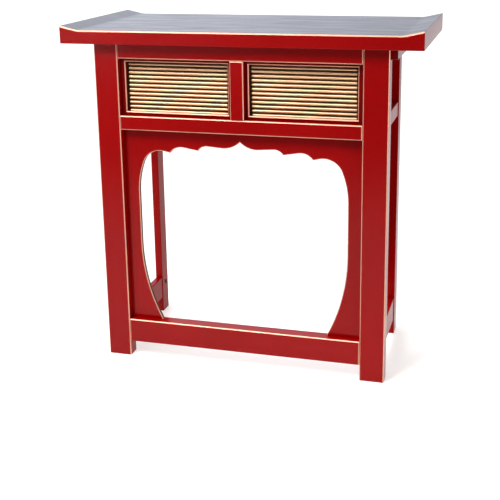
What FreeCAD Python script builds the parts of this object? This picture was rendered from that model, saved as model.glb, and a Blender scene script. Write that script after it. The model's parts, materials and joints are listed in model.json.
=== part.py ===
import FreeCAD, Part
import math
import os

V = FreeCAD.Vector
os.makedirs("parts", exist_ok=True)

# Sizes in millimetres. X runs along the front, Y from front to back and Z up.
# The origin is on the floor under the middle of the top board.

# Top board
overall_height = 750.0
top_width = 767.0
top_depth = 374.0
top_thickness = 29.0
tip_rise = 9.0
tip_run = 41.0
tip_blend = 60.0
top_gilt_edge = 2.8
top_soft_edge = 1.0
seat_gap = 0.3

# Front frame
front_overhang = 18.5
end_overhang = 68.0
leg_width = 53.0
leg_depth = 30.0
gilt_edge = 2.1
top_rail_height = 31.2
lower_rail_height = 31.0
louvre_height = 123.0
stretcher_height = 53.0
stretcher_clear = 35.5
stile_width = 29.6
tenon_setback = 8.0
tenon_thickness = 10.0
tenon_length = 25.0
tenon_shoulder = 8.0
stile_tenon_length = 12.0

# Arch panel
panel_recess = 18.0
panel_thickness = 9.0
groove_depth = 6.0
tongue_setback = 10.0
arch_gilt_edge = 1.6
arch_side_margin = 31.0
arch_foot_margin = 74.7
arch_straight_start = 182.5
arch_shoulder_drop = 141.1
shoulder_radius = 188.3
corner_radius = 41.6
corner_slope = 12.4
outer_cusp_half = 157.2
outer_cusp_drop = 50.6
outer_lobe_radius = 30.8
outer_lobe_slope = 9.6
inner_cusp_half = 93.8
inner_cusp_drop = 43.2
inner_lobe_radius = 23.2
inner_lobe_slope = 4.3
valley_half = 37.0
valley_drop = 35.3
peak_drop = 20.3

# Louvre units
louvre_recess = 14.0
backing_thickness = 1.5
border_leg_side = 12.1
border_stile_side = 8.0
border_top = 8.2
border_bottom = 7.7
bead_width = 3.0
bead_depth = 6.0
bead_gilt_edge = 2.0
slat_pitch = 9.17
slat_depth = 2.6
slat_thickness = 5.2
slat_tilt = 20.0
slat_drop = 2.5
slat_end_gap = 3.5

# Side frames
side_thickness = 18.0
side_setback = 14.5
side_length = 269.5
side_front_gap = 0.5
side_stile_depth = 34.0
back_leg_depth = 37.0
side_rail_thickness = 15.0
side_top_rail_height = 27.0
side_middle_rail_height = 32.0
side_middle_rail_lift = 3.5
side_bottom_rail_height = 54.5
side_tenon_thickness = 6.0
side_tenon_length = 20.0
side_tenon_shoulder = 6.0
soft_edge = 1.2

# Hinges
knuckle_radius = 3.0
running_gap = 0.3
hinge_length = 60.0
knuckle_count = 5
leaf_width = 15.0
leaf_thickness = 1.4
pin_radius = 1.45
bore_gap = 0.05
pin_head_radius = 2.5
pin_head_height = 1.2
lower_hinge_rise = 60.0
upper_hinge_drop = 50.0

# Bumpers
bumper_radius = 5.2
bumper_depth = 1.5
bumper_rise = 36.8
bumper_inset = 14.5

# Cleats under the top
cleat_width = 25.5
cleat_height = 25.0
cleat_length = 253.0
cleat_gap = 0.5

# Levels and planes that follow from the sizes
tol = 1e-4
flat_top = overall_height - tip_rise
underside = flat_top - top_thickness
leg_top = underside - seat_gap
half_width = top_width / 2
half_depth = top_depth / 2
leg_front = -half_depth + front_overhang
leg_back = leg_front + leg_depth
leg_outer = half_width - end_overhang
leg_inner = leg_outer - leg_width
top_rail_bottom = leg_top - top_rail_height
lower_rail_top = top_rail_bottom - louvre_height
lower_rail_bottom = lower_rail_top - lower_rail_height
stretcher_top = stretcher_clear + stretcher_height
stile_half = stile_width / 2
tenon_front = leg_front + tenon_setback
tenon_back = tenon_front + tenon_thickness
panel_front = leg_front + panel_recess
panel_back = panel_front + panel_thickness
side_outer = leg_outer - side_setback
side_inner = side_outer - side_thickness
side_front = leg_back + side_front_gap
side_back = side_front + side_length
back_leg_front = side_back - back_leg_depth
side_stile_back = side_front + side_stile_depth
barrel_offset = knuckle_radius + running_gap
axis_x = side_inner - barrel_offset
axis_y = leg_back + barrel_offset


def box(x0, x1, y0, y1, z0, z1):
    return Part.makeBox(x1 - x0, y1 - y0, z1 - z0, V(x0, y0, z0))


def rod(radius, length, base, direction):
    return Part.makeCylinder(radius, length, base, direction)


def mirrored(shape):
    return shape.mirror(V(0, 0, 0), V(1, 0, 0))


def fused(shapes):
    return shapes[0].fuse(shapes[1:]).removeSplitter()


def save(node, shape):
    shape.exportStep("parts/" + node + ".step")


def save_pair(node, right):
    save(node + "_right", right)
    save(node + "_left", mirrored(right))


def lies_at(edge, axis, value):
    return all(abs(getattr(v.Point, axis) - value) < tol for v in edge.Vertexes)


def runs_along(edge, axis):
    a = edge.Vertexes[0].Point
    b = edge.Vertexes[-1].Point
    span = abs(getattr(a, axis) - getattr(b, axis))
    return abs(a.distanceToPoint(b) - span) < tol and span > tol


# Bevels the edges of the front face, except those on a plane that stays square.
def gilded(bar, front, plain_axis, plain_values):
    edges = []
    for edge in bar.Edges:
        square = any(lies_at(edge, plain_axis, value) for value in plain_values)
        if lies_at(edge, "y", front) and not square:
            edges.append(edge)
    return bar.makeChamfer(gilt_edge, edges)


def softened(bar, axis, size):
    edges = [edge for edge in bar.Edges if runs_along(edge, axis)]
    return bar.makeChamfer(size, edges)


# Top board: flat underside, upper face that ramps up to a tip at each end.
def make_top_board():
    half_turn = math.atan2(tip_rise, tip_run) / 2
    reach = tip_blend * math.tan(half_turn)
    start = half_width - tip_run
    y = -half_depth
    flat_end = V(start - reach, y, flat_top)
    bend = flat_end + V(math.sin(half_turn), 0, 1 - math.cos(half_turn)) * tip_blend
    ramp_start = V(start, y, flat_top)
    ramp_start += V(math.cos(2 * half_turn), 0, math.sin(2 * half_turn)) * reach
    tip = V(half_width, y, overall_height)
    corner = V(half_width, y, underside)
    rising = [Part.Arc(flat_end, bend, ramp_start).toShape(), Part.makeLine(ramp_start, tip)]
    rising.append(Part.makeLine(tip, corner))
    edges = rising + [mirrored(edge) for edge in rising]
    edges.append(Part.makeLine(V(-flat_end.x, y, flat_top), flat_end))
    edges.append(Part.makeLine(V(-half_width, y, underside), corner))
    wire = Part.Wire(Part.__sortEdges__(edges))
    board = Part.Face(wire).extrude(V(0, top_depth, 0))
    upper = []
    for edge in board.Edges:
        above = all(v.Z > underside + tol for v in edge.Vertexes)
        if lies_at(edge, "y", y) and above and not runs_along(edge, "z"):
            upper.append(edge)
    board = board.makeChamfer(top_gilt_edge, upper)
    lower = [e for e in board.Edges if lies_at(e, "y", y) and lies_at(e, "z", underside)]
    return board.makeChamfer(top_soft_edge, lower)


# Front frame bars, each with its tenons.
def cross_bar(z0, z1, plain_values):
    bar = box(-leg_inner, leg_inner, leg_front, leg_back, z0, z1)
    bar = gilded(bar, leg_front, "z", plain_values)
    reach = leg_inner + tenon_length
    tenon = box(-reach, reach, tenon_front, tenon_back,
                z0 + tenon_shoulder, z1 - tenon_shoulder)
    return fused([bar, tenon]), tenon


def make_stile():
    bar = box(-stile_half, stile_half, leg_front, leg_back, lower_rail_top, top_rail_bottom)
    bar = gilded(bar, leg_front, "z", [lower_rail_top])
    cheek = stile_half - tenon_shoulder
    tenon = box(-cheek, cheek, tenon_front, tenon_back,
                lower_rail_top - stile_tenon_length, top_rail_bottom + stile_tenon_length)
    return fused([bar, tenon]), tenon


# Arch outline, right half: curved foot, straight side, shoulder, round corner,
# two lobes and an ogee up to the peak.
def slope(angle):
    turn = math.radians(angle)
    return V(math.cos(turn), 0, math.sin(turn)), V(-math.sin(turn), 0, math.cos(turn))


def arc_about(centre, a, b):
    middle = (a + b) * 0.5 - centre
    middle = middle * ((a - centre).Length / middle.Length)
    return Part.Arc(a, centre + middle, b).toShape()


# One lobe rises straight from its inner cusp and falls in an arc to its outer cusp.
def lobe(inner, outer, angle, radius):
    along, across = slope(angle)
    span = outer - inner
    drop = span.dot(across) + radius
    run = span.dot(along) - math.sqrt(radius ** 2 - drop ** 2)
    turn = inner + along * run
    return [Part.makeLine(inner, turn), arc_about(turn - across * radius, turn, outer)]


def arch_half(y):
    wide = leg_inner - arch_side_margin
    foot = V(leg_inner - arch_foot_margin, y, stretcher_top)
    low = V(wide, y, stretcher_top + arch_straight_start)
    high = V(wide, y, lower_rail_bottom - arch_shoulder_drop)
    outer = V(outer_cusp_half, y, lower_rail_bottom - outer_cusp_drop)
    inner = V(inner_cusp_half, y, lower_rail_bottom - inner_cusp_drop)
    valley = V(valley_half, y, lower_rail_bottom - valley_drop)
    peak = V(0, y, lower_rail_bottom - peak_drop)
    swell = wide - foot.x
    side_radius = (arch_straight_start ** 2 + swell ** 2) / (2 * swell)
    ogee_fall = valley_drop - peak_drop
    ogee_radius = (valley_half ** 2 + ogee_fall ** 2) / (2 * ogee_fall)

    shoulder = high - V(shoulder_radius, 0, 0)
    along, across = slope(corner_slope)
    gap = outer - across * corner_radius - shoulder
    lead = gap.dot(along)
    reach = shoulder_radius - corner_radius
    turn = outer + along * (math.sqrt(lead ** 2 - gap.dot(gap) + reach ** 2) - lead)
    corner = turn - across * corner_radius
    join = shoulder + (corner - shoulder) * (shoulder_radius / reach)

    edges = [arc_about(low - V(side_radius, 0, 0), foot, low), Part.makeLine(low, high)]
    edges += [arc_about(shoulder, high, join), arc_about(corner, join, turn)]
    edges.append(Part.makeLine(turn, outer))
    edges += lobe(inner, outer, outer_lobe_slope, outer_lobe_radius)
    edges += lobe(valley, inner, inner_lobe_slope, inner_lobe_radius)
    edges.append(arc_about(valley + V(0, 0, ogee_radius), valley, peak))
    return edges


def make_arch_panel():
    edge_x = leg_inner + groove_depth
    plate = box(-edge_x, edge_x, panel_front, panel_back,
                stretcher_top, lower_rail_bottom + groove_depth)
    foot = leg_inner - arch_foot_margin
    sill = Part.makeLine(V(-foot, panel_front, stretcher_top), V(foot, panel_front, stretcher_top))
    half = arch_half(panel_front)
    edges = half + [mirrored(edge) for edge in half] + [sill]
    wire = Part.Wire(Part.__sortEdges__(edges))
    hole = Part.Face(wire).extrude(V(0, panel_thickness, 0))
    plate = plate.cut(hole)
    rim = []
    for edge in plate.Edges:
        inside = edge.BoundBox.XMax < leg_inner and edge.BoundBox.XMin > -leg_inner
        level = lies_at(edge, "z", stretcher_top)
        if inside and not level and lies_at(edge, "y", panel_front):
            rim.append(edge)
    plate = plate.makeChamfer(arch_gilt_edge, rim)
    tongue = box(foot + tongue_setback, edge_x, panel_front, panel_back,
                 stretcher_top - groove_depth, stretcher_top)
    return fused([plate, tongue, mirrored(tongue)]), tongue


# Louvre unit in the right-hand opening.
def make_louvre():
    front = leg_front + louvre_recess
    back = leg_back - backing_thickness
    x0 = stile_half
    x1 = leg_inner
    z0 = lower_rail_top
    z1 = top_rail_bottom
    wx0 = x0 + border_stile_side
    wx1 = x1 - border_leg_side
    wz0 = z0 + border_bottom
    wz1 = z1 - border_top
    ox0 = wx0 - bead_width
    ox1 = wx1 + bead_width
    oz0 = wz0 - bead_width
    oz1 = wz1 + bead_width
    bars = [box(x0, x1, front, back, z0, oz0), box(x0, x1, front, back, oz1, z1)]
    bars += [box(x0, ox0, front, back, oz0, oz1), box(ox1, x1, front, back, oz0, oz1)]
    ring = box(ox0, ox1, front, front + bead_depth, oz0, oz1)
    ring = ring.cut(box(wx0, wx1, front, front + bead_depth, wz0, wz1))
    rim = []
    for edge in ring.Edges:
        box_of = edge.BoundBox
        inside = box_of.XMin > wx0 - tol and box_of.XMax < wx1 + tol
        inside = inside and box_of.ZMin > wz0 - tol and box_of.ZMax < wz1 + tol
        if inside and lies_at(edge, "y", front):
            rim.append(edge)
    ring = ring.makeChamfer(bead_gilt_edge, rim)
    backing = box(x0, x1, back, leg_back, z0, z1)
    fall = slat_depth * math.tan(math.radians(slat_tilt))
    nose = back - slat_depth
    count = 1 + int((wz1 - wz0 - slat_thickness - fall) // slat_pitch)
    first = (wz0 + wz1 - (count - 1) * slat_pitch - slat_thickness + fall) / 2 - slat_drop
    left = wx0 + slat_end_gap
    slats = []
    for i in range(count):
        z = first + i * slat_pitch
        low = V(left, nose, z - fall)
        high = V(left, nose, z - fall + slat_thickness)
        tip = V(left, nose - slat_thickness / 2, z - fall + slat_thickness / 2)
        rear_high = V(left, back, z + slat_thickness)
        rear_low = V(left, back, z)
        outline = [Part.Arc(low, tip, high).toShape(), Part.makeLine(high, rear_high)]
        outline += [Part.makeLine(rear_high, rear_low), Part.makeLine(rear_low, low)]
        face = Part.Face(Part.Wire(outline))
        slats.append(face.extrude(V(wx1 - slat_end_gap - left, 0, 0)))
    return Part.makeCompound(bars), ring, Part.makeCompound(slats), backing


# Hinge: the fixed leaf lies on the leg, the moving leaf on the side frame.
def knuckle_span(index):
    pitch = hinge_length / knuckle_count
    return index * pitch + running_gap / 2, (index + 1) * pitch - running_gap / 2


def make_hinge(z):
    inner = axis_x - leaf_width
    near = axis_x - barrel_offset
    behind = axis_y + barrel_offset
    far = axis_y + leaf_width
    fixed = [box(inner, near, leg_back, leg_back + leaf_thickness, z, z + hinge_length)]
    moving = [box(side_inner - leaf_thickness, side_inner, behind, far, z, z + hinge_length)]
    for i in range(knuckle_count):
        low, high = knuckle_span(i)
        barrel = rod(knuckle_radius, high - low, V(axis_x, axis_y, z + low), V(0, 0, 1))
        if i % 2 == 0:
            tab = box(near, axis_x, leg_back, leg_back + leaf_thickness, z + low, z + high)
            fixed += [barrel, tab]
        else:
            tab = box(side_inner - leaf_thickness, side_inner, axis_y, behind, z + low, z + high)
            moving += [barrel, tab]
    base = V(axis_x, axis_y, z)
    bore = rod(pin_radius + bore_gap, hinge_length, base, V(0, 0, 1))
    pin = rod(pin_radius, hinge_length, base, V(0, 0, 1))
    heads = [rod(pin_head_radius, pin_head_height, base, V(0, 0, -1))]
    top = V(axis_x, axis_y, z + hinge_length)
    heads.append(rod(pin_head_radius, pin_head_height, top, V(0, 0, 1)))
    return fused(fixed).cut(bore), fused(moving).cut(bore), fused([pin] + heads)


def cut_all(shape, tools):
    for tool in tools:
        shape = shape.cut(tool)
    return shape


# Front frame
top_rail, top_tenon = cross_bar(top_rail_bottom, leg_top, [leg_top])
lower_rail, lower_tenon = cross_bar(lower_rail_bottom, lower_rail_top, [])
stretcher, stretcher_tenon = cross_bar(stretcher_clear, stretcher_top, [stretcher_clear])
stile, stile_tenon = make_stile()
panel, tongue = make_arch_panel()

panel_slot = box(leg_inner, leg_inner + groove_depth, panel_front, panel_back,
                 stretcher_top - groove_depth, lower_rail_bottom + groove_depth)
rail_slot = box(-leg_inner, leg_inner, panel_front, panel_back,
                lower_rail_bottom, lower_rail_bottom + groove_depth)
top_rail = top_rail.cut(stile_tenon)
lower_rail = cut_all(lower_rail, [stile_tenon, rail_slot])
stretcher = cut_all(stretcher, [tongue, mirrored(tongue)])

leg = box(leg_inner, leg_outer, leg_front, leg_back, 0, leg_top)
leg = gilded(leg, leg_front, "z", [0, leg_top])
leg = cut_all(leg, [top_tenon, lower_tenon, stretcher_tenon, panel_slot])

lower_hinge = stretcher_top + lower_hinge_rise
upper_hinge = leg_top - upper_hinge_drop - hinge_length
hinges = {"upper": upper_hinge, "lower": lower_hinge}
for place, z in hinges.items():
    fixed, moving, pin = make_hinge(z)
    save_pair("hinge_leaf_front_" + place, fixed)
    save_pair("hinge_leaf_side_" + place, moving)
    save_pair("hinge_pin_" + place, pin)

save_pair("front_leg", leg)
save("top_rail", top_rail)
save("lower_rail", lower_rail)
save("bottom_stretcher", stretcher)
save("centre_stile", stile)
save("arch_panel", panel)

frame, bead, slats, backing = make_louvre()
save_pair("louvre_frame", frame)
save_pair("louvre_bead", bead)
save_pair("louvre_slats", slats)
save_pair("louvre_backing", backing)

# Side frame on the right
rail_x0 = (side_inner + side_outer - side_rail_thickness) / 2
rail_x1 = rail_x0 + side_rail_thickness
tenon_x0 = (side_inner + side_outer - side_tenon_thickness) / 2
tenon_x1 = tenon_x0 + side_tenon_thickness


def side_rail(z0, z1):
    bar = box(rail_x0, rail_x1, side_stile_back, back_leg_front, z0, z1)
    bar = softened(bar, "y", soft_edge)
    tenon = box(tenon_x0, tenon_x1, side_stile_back - side_tenon_length,
                back_leg_front + side_tenon_length,
                z0 + side_tenon_shoulder, z1 - side_tenon_shoulder)
    return fused([bar, tenon]), tenon


upper = side_rail(leg_top - side_top_rail_height, leg_top)
middle_top = lower_rail_top + side_middle_rail_lift
middle = side_rail(middle_top - side_middle_rail_height, middle_top)
bottom = side_rail(stretcher_clear, stretcher_clear + side_bottom_rail_height)
side_tenons = [upper[1], middle[1], bottom[1]]

side_stile = box(side_inner, side_outer, side_front, side_stile_back, 0, leg_top)
side_stile = softened(side_stile, "z", soft_edge)
side_stile = cut_all(side_stile, side_tenons)
back_leg = box(side_inner, side_outer, back_leg_front, side_back, 0, leg_top)
back_leg = softened(back_leg, "z", soft_edge)
back_leg = cut_all(back_leg, side_tenons)

save_pair("side_stile", side_stile)
save_pair("back_leg", back_leg)
save_pair("side_top_rail", upper[0])
save_pair("side_middle_rail", middle[0])
save_pair("side_bottom_rail", bottom[0])

bumper_spot = V(side_inner, side_back - bumper_inset, stretcher_clear + bumper_rise)
save_pair("bumper", rod(bumper_radius, bumper_depth, bumper_spot, V(-1, 0, 0)))

# Top board and its cleats
board = make_top_board()
cleat_x0 = side_outer + cleat_gap
cleat_x1 = cleat_x0 + cleat_width
cleat_y0 = leg_back + cleat_gap
cleat_y1 = cleat_y0 + cleat_length
cleat = box(cleat_x0, cleat_x1, cleat_y0, cleat_y1, underside - cleat_height, underside)
lower_edges = [e for e in cleat.Edges if lies_at(e, "z", underside - cleat_height)]
cleat = cleat.makeChamfer(soft_edge, lower_edges)
save("top_board", board)
save_pair("top_cleat", cleat)
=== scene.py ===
import bmesh
import bpy
import json
import math
from mathutils import Matrix, Vector


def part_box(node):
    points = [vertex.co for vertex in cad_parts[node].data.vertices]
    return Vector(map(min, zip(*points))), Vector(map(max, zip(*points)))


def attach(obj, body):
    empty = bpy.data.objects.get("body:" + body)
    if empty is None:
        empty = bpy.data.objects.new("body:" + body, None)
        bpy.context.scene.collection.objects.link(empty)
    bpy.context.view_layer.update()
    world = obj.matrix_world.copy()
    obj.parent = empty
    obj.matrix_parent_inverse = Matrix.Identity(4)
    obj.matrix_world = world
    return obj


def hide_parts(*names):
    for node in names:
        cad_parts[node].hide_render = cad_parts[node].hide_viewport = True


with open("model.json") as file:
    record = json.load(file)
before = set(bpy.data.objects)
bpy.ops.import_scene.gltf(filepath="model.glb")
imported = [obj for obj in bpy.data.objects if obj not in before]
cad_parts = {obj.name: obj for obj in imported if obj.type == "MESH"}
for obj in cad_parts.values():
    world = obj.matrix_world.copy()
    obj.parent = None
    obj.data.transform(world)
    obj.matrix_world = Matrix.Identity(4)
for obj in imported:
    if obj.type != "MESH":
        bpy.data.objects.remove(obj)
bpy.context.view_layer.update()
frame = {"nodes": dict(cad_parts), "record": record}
scene = bpy.context.scene
scene.view_settings.view_transform = "Standard"
print("frame loaded with", len(frame["nodes"]), "nodes")


def deselectAll():
    bpy.ops.object.select_all(action="DESELECT")


def pick(piece):
    deselectAll()
    piece.select_set(True)
    bpy.context.view_layer.objects.active = piece


def applyModifier(piece, name):
    pick(piece)
    bpy.ops.object.modifier_apply(modifier=name)


# node helpers shared by the finishes
def addNode(tree, kind, place, **values):
    node = tree.nodes.new(kind)
    node.location = place
    for key, value in values.items():
        setattr(node, key, value)
    return node


def join(tree, source, target):
    tree.links.new(source, target)


def setIn(node, **values):
    for key, value in values.items():
        node.inputs[key.replace("_", " ")].default_value = value


# lacquer skin: slow mottle, fine peel and settled specks, used by every finish of the table
skinLook = {
    "mottleDetail": 3.0, "mottleRough": 0.55, "peelDetail": 2.0, "peelRough": 0.5,
    "speckScale": 420.0, "speckEdge": (0.02, 0.12), "toneStops": (0.3, 0.7), "peelHeight": 0.0004,
}


def buildLacquerSkin(look):
    tree = bpy.data.node_groups.new("lacquerSkin", "ShaderNodeTree")
    face = tree.interface
    face.new_socket("Vector", in_out="INPUT", socket_type="NodeSocketVector")
    face.new_socket("Mottle Scale", in_out="INPUT", socket_type="NodeSocketFloat")
    face.new_socket("Peel Scale", in_out="INPUT", socket_type="NodeSocketFloat")
    face.new_socket("Mottle", in_out="OUTPUT", socket_type="NodeSocketFloat")
    face.new_socket("Peel", in_out="OUTPUT", socket_type="NodeSocketFloat")
    face.new_socket("Specks", in_out="OUTPUT", socket_type="NodeSocketFloat")
    entry = addNode(tree, "NodeGroupInput", (-700, 0))
    leave = addNode(tree, "NodeGroupOutput", (400, 0))
    mottle = addNode(tree, "ShaderNodeTexNoise", (-400, 200))
    setIn(mottle, Detail=look["mottleDetail"], Roughness=look["mottleRough"])
    peel = addNode(tree, "ShaderNodeTexNoise", (-400, -50))
    setIn(peel, Detail=look["peelDetail"], Roughness=look["peelRough"])
    specks = addNode(tree, "ShaderNodeTexVoronoi", (-400, -300))
    setIn(specks, Scale=look["speckScale"])
    spot = addNode(tree, "ShaderNodeMapRange", (-150, -300))
    near, far = look["speckEdge"]
    setIn(spot, From_Min=near, From_Max=far, To_Min=1.0, To_Max=0.0)
    for noise in (mottle, peel, specks):
        join(tree, entry.outputs["Vector"], noise.inputs["Vector"])
    join(tree, entry.outputs["Mottle Scale"], mottle.inputs["Scale"])
    join(tree, entry.outputs["Peel Scale"], peel.inputs["Scale"])
    join(tree, specks.outputs["Distance"], spot.inputs["Value"])
    join(tree, mottle.outputs["Fac"], leave.inputs["Mottle"])
    join(tree, peel.outputs["Fac"], leave.inputs["Peel"])
    join(tree, spot.outputs["Result"], leave.inputs["Specks"])
    return tree


lacquerSkin = buildLacquerSkin(skinLook)


def newMaterial(name):
    material = bpy.data.materials.new(name)
    material.use_nodes = True
    tree = material.node_tree
    return material, tree, tree.nodes["Principled BSDF"]


# one finish: two tones, gloss range, specks and peel
def makeLacquer(name, look):
    material, tree, shader = newMaterial(name)
    coords = addNode(tree, "ShaderNodeTexCoord", (-1300, 0))
    grain = addNode(tree, "ShaderNodeMapping", (-1080, 0))
    setIn(grain, Scale=look.get("grain", (1.0, 1.0, 1.0)))
    skin = addNode(tree, "ShaderNodeGroup", (-850, 0), node_tree=lacquerSkin)
    setIn(skin, Mottle_Scale=look["mottleScale"], Peel_Scale=look["peelScale"])
    join(tree, coords.outputs["Object"], grain.inputs["Vector"])
    join(tree, grain.outputs["Vector"], skin.inputs["Vector"])
    tone = addNode(tree, "ShaderNodeValToRGB", (-550, 200))
    for stop, place, shade in zip(tone.color_ramp.elements, skinLook["toneStops"], ("deep", "bright")):
        stop.position = place
        stop.color = (*look[shade], 1)
    join(tree, skin.outputs["Mottle"], tone.inputs["Fac"])
    join(tree, tone.outputs["Color"], shader.inputs["Base Color"])
    gloss = addNode(tree, "ShaderNodeMapRange", (-550, -100))
    setIn(gloss, To_Min=look["rough"][0], To_Max=look["rough"][1])
    join(tree, skin.outputs["Mottle"], gloss.inputs["Value"])
    speckled = addNode(tree, "ShaderNodeMath", (-330, -100), operation="MULTIPLY_ADD")
    speckled.inputs[1].default_value = look["speckRough"]
    join(tree, skin.outputs["Specks"], speckled.inputs[0])
    join(tree, gloss.outputs["Result"], speckled.inputs[2])
    join(tree, speckled.outputs["Value"], shader.inputs["Roughness"])
    bump = addNode(tree, "ShaderNodeBump", (-330, -350))
    setIn(bump, Strength=look["peelStrength"], Distance=skinLook["peelHeight"])
    join(tree, skin.outputs["Peel"], bump.inputs["Height"])
    join(tree, bump.outputs["Normal"], shader.inputs["Normal"])
    setIn(shader, Metallic=look["metallic"], IOR=look["ior"])
    return material


vermilionLook = {
    "deep": (0.235, 0.0006, 0.0007), "bright": (0.275, 0.0009, 0.0010), "rough": (0.10, 0.17),
    "speckRough": 0.10, "mottleScale": 5.0, "peelScale": 260.0, "peelStrength": 0.03,
    "metallic": 0.0, "ior": 1.26,
}
# the side frames have less sheen, and the deep louvre frames get a darker vermilion, painted shade for
# their recess
sideLook = {**vermilionLook, "rough": (0.16, 0.24), "ior": 1.18}
recessPaintedShadeLook = {
    **vermilionLook, "deep": (0.125, 0.0005, 0.0005), "bright": (0.150, 0.0006, 0.0007),
    "rough": (0.20, 0.28), "ior": 1.20,
}
blackLook = {
    "deep": (0.006, 0.006, 0.007), "bright": (0.012, 0.012, 0.014), "rough": (0.03, 0.33),
    "speckRough": 0.08, "mottleScale": 27.0, "peelScale": 220.0, "peelStrength": 0.05,
    "metallic": 0.0, "ior": 1.5, "grain": (0.26, 1.0, 1.0),
}
giltLook = {
    "deep": (0.68, 0.36, 0.255), "bright": (0.76, 0.415, 0.30), "rough": (0.52, 0.58),
    "speckRough": 0.03, "mottleScale": 25.0, "peelScale": 900.0, "peelStrength": 0.05,
    "metallic": 0.85, "ior": 1.5,
}
slatLook = {
    "deep": (0.69, 0.44, 0.25), "bright": (0.77, 0.525, 0.32), "rough": (0.46, 0.52),
    "speckRough": 0.03, "mottleScale": 18.0, "peelScale": 500.0, "peelStrength": 0.01,
    "metallic": 1.0, "ior": 1.5,
}
# the backing's front is dark brown, painted shade for the gaps between the slats
backingPaintedShadeLook = {
    "deep": (0.060, 0.022, 0.003), "bright": (0.085, 0.032, 0.005), "rough": (0.50, 0.60),
    "speckRough": 0.05, "mottleScale": 12.0, "peelScale": 300.0, "peelStrength": 0.1,
    "metallic": 0.0, "ior": 1.4,
}
# the arch panel's edge faces are dark brown, painted shade of the arch's reveal
revealPaintedShadeLook = {**backingPaintedShadeLook, "deep": (0.070, 0.013, 0.006), "bright": (0.090, 0.018, 0.008), "ior": 1.3}
brassLook = {
    "deep": (0.50, 0.33, 0.12), "bright": (0.66, 0.46, 0.19), "rough": (0.28, 0.42),
    "speckRough": 0.1, "mottleScale": 90.0, "peelScale": 1400.0, "peelStrength": 0.1,
    "metallic": 1.0, "ior": 1.5,
}
rubberLook = {
    "deep": (0.010, 0.010, 0.010), "bright": (0.018, 0.017, 0.016), "rough": (0.65, 0.80),
    "speckRough": 0.1, "mottleScale": 200.0, "peelScale": 1500.0, "peelStrength": 0.3,
    "metallic": 0.0, "ior": 1.5,
}
vermilion = makeLacquer("vermilionLacquer", vermilionLook)
sideLacquer = makeLacquer("sideLacquer", sideLook)
recessPaintedShadeLacquer = makeLacquer("recessPaintedShadeLacquer", recessPaintedShadeLook)
blackLacquer = makeLacquer("blackLacquer", blackLook)
gilt = makeLacquer("giltEdge", giltLook)
slatGold = makeLacquer("slatGold", slatLook)
backingPaintedShade = makeLacquer("backingPaintedShade", backingPaintedShadeLook)
revealPaintedShade = makeLacquer("revealPaintedShade", revealPaintedShadeLook)
brass = makeLacquer("hingeBrass", brassLook)
rubber = makeLacquer("bumperRubber", rubberLook)
print("finishes made")


# bars of one node that meet at a corner become closed shells of their own again after the merge
def partShells(piece):
    shape = bmesh.from_edit_mesh(piece.data)
    seen = set()
    shells = []
    for first in shape.faces:
        if first in seen:
            continue
        seen.add(first)
        shell = [first]
        for face in shell:
            pairs = [edge.link_faces for edge in face.edges if len(edge.link_faces) == 2]
            for near in (other for pair in pairs for other in pair):
                if near not in seen:
                    seen.add(near)
                    shell.append(near)
        shells.append(shell)
    for shell in shells[1:]:
        bmesh.ops.split(shape, geom=shell, use_only_faces=True)
    bmesh.update_edit_mesh(piece.data)


# a merged copy of a node with soft arrises, painted face by face; angles in degrees
dressing = {
    "merge": 0.00001, "flatAngle": 0.4, "arrisAngle": 25, "arrisSteps": 2,
    "smoothAngle": 35, "evenWeight": 100,
}


def dressNode(nodeName, arris, finishes, rule):
    source = frame["nodes"][nodeName]
    piece = bpy.data.objects.new(nodeName + "Dressed", source.data.copy())
    bpy.context.collection.objects.link(piece)
    pick(piece)
    bpy.ops.mesh.customdata_custom_splitnormals_clear()
    bpy.ops.object.mode_set(mode="EDIT")
    bpy.ops.mesh.select_all(action="SELECT")
    bpy.ops.mesh.remove_doubles(threshold=dressing["merge"])
    partShells(piece)
    bpy.ops.mesh.select_all(action="SELECT")
    bpy.ops.mesh.dissolve_limited(angle_limit=math.radians(dressing["flatAngle"]))
    bpy.ops.object.mode_set(mode="OBJECT")
    piece.data.materials.clear()
    for finish in finishes:
        piece.data.materials.append(finish)
    for face in piece.data.polygons:
        face.material_index = rule(face.normal)
    if arris > 0:
        soft = piece.modifiers.new("arris", "BEVEL")
        soft.width = arris
        soft.segments = dressing["arrisSteps"]
        soft.limit_method = "ANGLE"
        soft.angle_limit = math.radians(dressing["arrisAngle"])
        soft.harden_normals = False
        applyModifier(piece, "arris")
    bpy.ops.object.shade_smooth_by_angle(angle=math.radians(dressing["smoothAngle"]))
    even = piece.modifiers.new("even", "WEIGHTED_NORMAL")
    even.weight = dressing["evenWeight"]
    even.keep_sharp = True
    applyModifier(piece, "even")
    bodies = frame["record"]["behaviour"]["bodies"]
    body = next(name for name, nodes in bodies.items() if nodeName in nodes)
    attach(piece, body)
    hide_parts(nodeName)


# rules that choose a face's finish by the way it faces
facing = {"chamfer": -0.7071, "chamferSlack": 0.06, "square": 0.85, "edgeOn": 0.1}


def onFrontChamfer(normal):
    return abs(normal.y - facing["chamfer"]) < facing["chamferSlack"]


def plain(normal):
    return 0


def giltChamfer(normal):
    return 1 if onFrontChamfer(normal) else 0


# edge faces of the arch panel take the dark brown of painted shade
def archFaces(normal):
    return 2 if abs(normal.y) < facing["edgeOn"] else giltChamfer(normal)


def topFaces(normal):
    if normal.z > facing["square"]:
        return 1
    return 2 if onFrontChamfer(normal) and normal.z > 0 else 0


def backFace(normal):
    return 1 if normal.y > facing["square"] else 0


frameParts = {
    "nodes": ("front_leg_left", "front_leg_right", "top_rail", "lower_rail", "bottom_stretcher",
              "centre_stile"),
    "arris": 0.0005, "panelArris": 0.0003,
}
for nodeName in frameParts["nodes"]:
    dressNode(nodeName, frameParts["arris"], (vermilion, gilt), giltChamfer)
archFinishes = (vermilion, gilt, revealPaintedShade)
dressNode("arch_panel", frameParts["panelArris"], archFinishes, archFaces)
print("front frame dressed")

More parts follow.
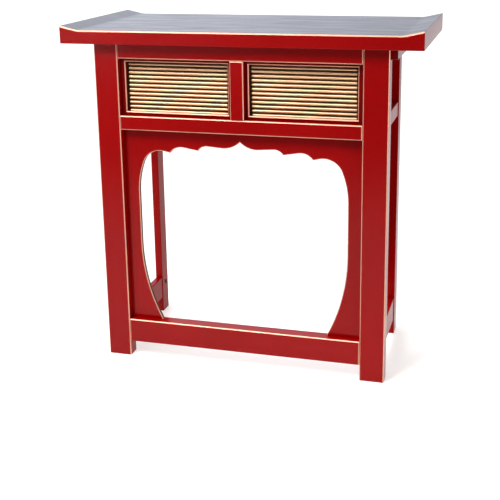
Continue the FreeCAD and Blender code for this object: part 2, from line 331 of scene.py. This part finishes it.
topParts = {"arris": 0.0007, "cleatArris": 0.0006}
dressNode("top_board", topParts["arris"], (vermilion, blackLacquer, gilt), topFaces)
for side in ("left", "right"):
    dressNode("top_cleat_" + side, topParts["cleatArris"], (vermilion,), plain)
print("top dressed")

sideParts = {
    "nodes": ("side_stile", "back_leg", "side_top_rail", "side_middle_rail", "side_bottom_rail"),
    "arris": 0.0005, "bumperArris": 0.0004,
}
for side in ("left", "right"):
    for nodeName in sideParts["nodes"]:
        dressNode(nodeName + "_" + side, sideParts["arris"], (sideLacquer,), plain)
    dressNode("bumper_" + side, sideParts["bumperArris"], (rubber,), plain)
print("side frames dressed")

louvreParts = {"arris": 0.0003, "slatArris": 0.00125, "backingArris": 0}
for side in ("left", "right"):
    # the louvre frames take the darker vermilion of painted shade
    dressNode("louvre_frame_" + side, louvreParts["arris"], (recessPaintedShadeLacquer,), plain)
    dressNode("louvre_bead_" + side, louvreParts["arris"], (vermilion, gilt), giltChamfer)
    dressNode("louvre_slats_" + side, louvreParts["slatArris"], (slatGold,), plain)
    # the dark brown front of the backing is painted shade; its back is vermilion
    backing = (backingPaintedShade, vermilion)
    dressNode("louvre_backing_" + side, louvreParts["backingArris"], backing, backFace)
print("louvres dressed")

hingeParts = {"arris": 0.00015}
for side in ("left", "right"):
    for place in ("upper", "lower"):
        for kind in ("hinge_leaf_front_", "hinge_leaf_side_", "hinge_pin_"):
            dressNode(kind + place + "_" + side, hingeParts["arris"], (brass,), plain)
print("hinges dressed")


# cross-head screw, modelled once at the origin facing up
screwLook = {
    "radius": 0.0023, "tall": 0.0008, "sunk": 0.0003, "round": 0.00025, "land": 0.0006,
    "cross": 0.00035, "deep": 0.0003, "sides": 32, "roundSteps": 3, "level": 0.9,
    "crownSlack": 1e-6, "fieldSlack": 1e-5, "smoothAngle": 35,
}


def selectFaces(piece, wanted):
    shape = bmesh.from_edit_mesh(piece.data)
    for face in shape.faces:
        face.select_set(False)
    for face in shape.faces:
        if wanted(face):
            face.select_set(True)
    bmesh.update_edit_mesh(piece.data)


def makeScrew(look):
    deselectAll()
    bpy.ops.mesh.primitive_cylinder_add(vertices=look["sides"], radius=look["radius"], depth=look["tall"])
    screw = bpy.context.object
    crown = look["tall"] - look["sunk"]
    field = look["radius"] - look["round"] - look["land"] + look["fieldSlack"]

    def onCrown(face):
        height = face.calc_center_median().z
        return face.normal.z > look["level"] and abs(height - crown) < look["crownSlack"]

    def inField(face):
        return onCrown(face) and all(corner.co.xy.length < field for corner in face.verts)

    def inCross(face):
        middle = face.calc_center_median()
        return inField(face) and min(abs(middle.x), abs(middle.y)) < look["cross"]

    bpy.ops.object.mode_set(mode="EDIT")
    bpy.ops.mesh.select_all(action="SELECT")
    bpy.ops.transform.translate(value=(0, 0, look["tall"] / 2 - look["sunk"]))
    bpy.ops.mesh.select_mode(type="FACE")
    selectFaces(screw, onCrown)
    bpy.ops.mesh.bevel(offset=look["round"], segments=look["roundSteps"], affect="EDGES")
    selectFaces(screw, onCrown)
    bpy.ops.mesh.inset(thickness=look["land"])
    for way in ((1, 0, 0), (0, 1, 0)):
        for sign in (1, -1):
            selectFaces(screw, inField)
            spot = [part * sign * look["cross"] for part in way]
            bpy.ops.mesh.bisect(plane_co=spot, plane_no=way)
    selectFaces(screw, inCross)
    bpy.ops.mesh.extrude_region_move(TRANSFORM_OT_translate={"value": (0, 0, -look["deep"])})
    bpy.ops.mesh.select_all(action="SELECT")
    bpy.ops.mesh.normals_make_consistent(inside=False)
    bpy.ops.object.mode_set(mode="OBJECT")
    bpy.ops.object.shade_smooth_by_angle(angle=math.radians(look["smoothAngle"]))
    screw.data.materials.append(brass)
    return screw


def placeScrew(pattern, name, body, spot, turn, size):
    copy = bpy.data.objects.new(name, pattern.data.copy())
    bpy.context.collection.objects.link(copy)
    copy.data.transform(Matrix.Translation(spot) @ turn @ Matrix.Scale(size, 4))
    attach(copy, body)


# three screws in each hinge leaf and three up through each cleat
screwPlan = {
    "leafEdge": 0.0058, "leafThickness": 0.0014, "leafSteps": (0.010, 0.030, 0.050), "leafSize": 1,
    "cleatSteps": (0.12, 0.5, 0.88), "cleatSize": 1.75,
}
pattern = makeScrew(screwLook)
toBack = Matrix.Rotation(-math.pi / 2, 4, "X")
downward = Matrix.Rotation(math.pi, 4, "X")
for side, sign in (("left", -1), ("right", 1)):
    inward = Matrix.Rotation(-sign * math.pi / 2, 4, "Y")
    for place in ("upper", "lower"):
        low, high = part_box("hinge_leaf_front_" + place + "_" + side)
        frontX = sign * (min(abs(low[0]), abs(high[0])) + screwPlan["leafEdge"])
        frontY = low[1] + screwPlan["leafThickness"]
        sideLow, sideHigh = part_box("hinge_leaf_side_" + place + "_" + side)
        sideX = sign * (max(abs(sideLow[0]), abs(sideHigh[0])) - screwPlan["leafThickness"])
        sideY = sideHigh[1] - screwPlan["leafEdge"]
        for index, step in enumerate(screwPlan["leafSteps"]):
            label = place.capitalize() + side.capitalize() + str(index + 1)
            size = screwPlan["leafSize"]
            frontSpot = (frontX, frontY, low[2] + step)
            placeScrew(pattern, "frontLeafScrew" + label, "front_frame", frontSpot, toBack, size)
            sideSpot = (sideX, sideY, sideLow[2] + step)
            placeScrew(pattern, "sideLeafScrew" + label, "side_frame_" + side, sideSpot, inward, size)
    low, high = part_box("top_cleat_" + side)
    for index, step in enumerate(screwPlan["cleatSteps"]):
        spot = ((low[0] + high[0]) / 2, low[1] + (high[1] - low[1]) * step, low[2])
        label = "cleatScrew" + side.capitalize() + str(index + 1)
        placeScrew(pattern, label, "table_top", spot, downward, screwPlan["cleatSize"])
bpy.data.objects.remove(pattern)
print("screws placed")


# pale studio floor that glows around the table, a painted pool of light that lifts the table's shadow;
# the glow is dim far in front and to the right
floorLook = {
    "size": 60.0, "tone": (0.54, 0.56), "rough": 0.6, "noiseScale": 3.0, "noiseDetail": 4.0,
    "glow": (1.0, 0.98, 0.94), "lift": 0.60,
    "fadeFront": (-2.2, -0.9), "fadeRight": (1.1, 0.55),
}
deselectAll()
bpy.ops.mesh.primitive_plane_add(size=floorLook["size"], location=(0, 0, 0))
floor = bpy.context.object
floor.name = "studioFloor"
floorFinish, floorTree, floorShader = newMaterial("studioFloor")
floorCoords = addNode(floorTree, "ShaderNodeTexCoord", (-900, 0))
floorNoise = addNode(floorTree, "ShaderNodeTexNoise", (-600, 150))
setIn(floorNoise, Scale=floorLook["noiseScale"], Detail=floorLook["noiseDetail"])
floorTone = addNode(floorTree, "ShaderNodeMapRange", (-350, 150))
setIn(floorTone, To_Min=floorLook["tone"][0], To_Max=floorLook["tone"][1])
floorSplit = addNode(floorTree, "ShaderNodeSeparateXYZ", (-600, -150))
floorPatch = addNode(floorTree, "ShaderNodeMath", (-200, -250), operation="MULTIPLY")
for index, (axis, ends) in enumerate((("Y", floorLook["fadeFront"]), ("X", floorLook["fadeRight"]))):
    spot = (-400, -150 - 270 * index)
    fade = addNode(floorTree, "ShaderNodeMapRange", spot, interpolation_type="SMOOTHSTEP")
    setIn(fade, From_Min=ends[0], From_Max=ends[1])
    join(floorTree, floorSplit.outputs[axis], fade.inputs["Value"])
    join(floorTree, fade.outputs["Result"], floorPatch.inputs[index])
floorPaintedGlow = addNode(floorTree, "ShaderNodeValToRGB", (-20, -250))
floorPaintedGlow.color_ramp.elements[0].color = (0, 0, 0, 1)
floorPaintedGlow.color_ramp.elements[1].color = (*floorLook["glow"], 1)
join(floorTree, floorCoords.outputs["Object"], floorNoise.inputs["Vector"])
join(floorTree, floorNoise.outputs["Fac"], floorTone.inputs["Value"])
join(floorTree, floorTone.outputs["Result"], floorShader.inputs["Base Color"])
join(floorTree, floorCoords.outputs["Object"], floorSplit.inputs["Vector"])
join(floorTree, floorPatch.outputs["Value"], floorPaintedGlow.inputs["Fac"])
# the glow is painted light: emission that fades out away from the table
join(floorTree, floorPaintedGlow.outputs["Color"], floorShader.inputs["Emission Color"])
setIn(floorShader, Roughness=floorLook["rough"], Emission_Strength=floorLook["lift"])
floor.data.materials.append(floorFinish)

# soft studio light: a key from the upper left, a card that catches the gilt from the right, a wash that
# whitens the floor behind and a pool on the floor at the front left
lightRig = {
    "frontKey": {
        "at": (-0.95, -1.75, 2.75), "aim": (0.0, -0.1, 0.35), "size": 1.3, "power": 25.0, "spread": 75.0,
    },
    "rightCard": {
        "at": (2.9, -0.85, 0.80), "aim": (0.0, -0.15, 0.50), "size": 1.5, "power": 10.5, "spread": 100.0,
    },
    "backWash": {
        "at": (-1.5, 7.0, 6.0), "aim": (-1.5, 7.5, 0.0), "size": 9.0, "power": 420.0, "spread": 150.0,
    },
    "leftPool": {
        "at": (-4.6, -6.0, 3.0), "aim": (-4.6, -5.9, 0.0), "size": 1.6, "power": 270.0, "spread": 115.0,
    },
}
for lightName, look in lightRig.items():
    lamp = bpy.data.lights.new(lightName, "AREA")
    lamp.shape = "SQUARE"
    lamp.size = look["size"]
    lamp.energy = look["power"]
    lamp.spread = math.radians(look["spread"])
    holder = bpy.data.objects.new(lightName, lamp)
    bpy.context.collection.objects.link(holder)
    holder.location = look["at"]
    aim = Vector(look["aim"]) - Vector(look["at"])
    holder.rotation_euler = aim.to_track_quat("-Z", "Y").to_euler()

# surroundings: white high up behind the table on the left, dim elsewhere
surround = {
    "dim": (0.10, 0.10, 0.10), "white": (1.14, 1.19, 1.355), "lean": (-0.65, 0.67, 0.43),
    "range": (0.40, 1.05), "strength": 1.0,
}
world = bpy.data.worlds.new("studioSurround")
scene.world = world
world.use_nodes = True
sky = world.node_tree
skyCoords = addNode(sky, "ShaderNodeTexCoord", (-900, 0))
skyLean = addNode(sky, "ShaderNodeVectorMath", (-700, 0), operation="DOT_PRODUCT")
skyLean.inputs[1].default_value = Vector(surround["lean"]).normalized()
skyRange = addNode(sky, "ShaderNodeMapRange", (-520, 0), interpolation_type="SMOOTHSTEP")
setIn(skyRange, From_Min=surround["range"][0], From_Max=surround["range"][1])
skyRamp = addNode(sky, "ShaderNodeValToRGB", (-350, 0))
skyRamp.color_ramp.elements[0].color = (*surround["dim"], 1)
skyRamp.color_ramp.elements[1].color = (*surround["white"], 1)
skyLight = sky.nodes["Background"]
join(sky, skyCoords.outputs["Generated"], skyLean.inputs[0])
join(sky, skyLean.outputs["Value"], skyRange.inputs["Value"])
join(sky, skyRange.outputs["Result"], skyRamp.inputs["Fac"])
join(sky, skyRamp.outputs["Color"], skyLight.inputs["Color"])
setIn(skyLight, Strength=surround["strength"])
print("stage and light set")

# camera at the photographed angle; turns in radians
cameraLook = {
    "place": (0.578944, -2.082911, 0.965003), "yaw": 0.281164, "pitch": 0.253509, "roll": -0.015635,
    "sensor": 36.0, "lens": 70.698, "shift": (0.0006, -0.156), "reach": 200.0,
}
viewer = bpy.data.cameras.new("viewer")
viewer.sensor_width = cameraLook["sensor"]
viewer.lens = cameraLook["lens"]
viewer.shift_x, viewer.shift_y = cameraLook["shift"]
viewer.clip_end = cameraLook["reach"]
stand = bpy.data.objects.new("viewer", viewer)
bpy.context.collection.objects.link(stand)
turn = Matrix.Rotation(cameraLook["yaw"], 4, "Z")
turn = turn @ Matrix.Rotation(math.pi / 2 - cameraLook["pitch"], 4, "X")
turn = turn @ Matrix.Rotation(cameraLook["roll"], 4, "Z")
stand.matrix_world = Matrix.Translation(cameraLook["place"]) @ turn
scene.camera = stand
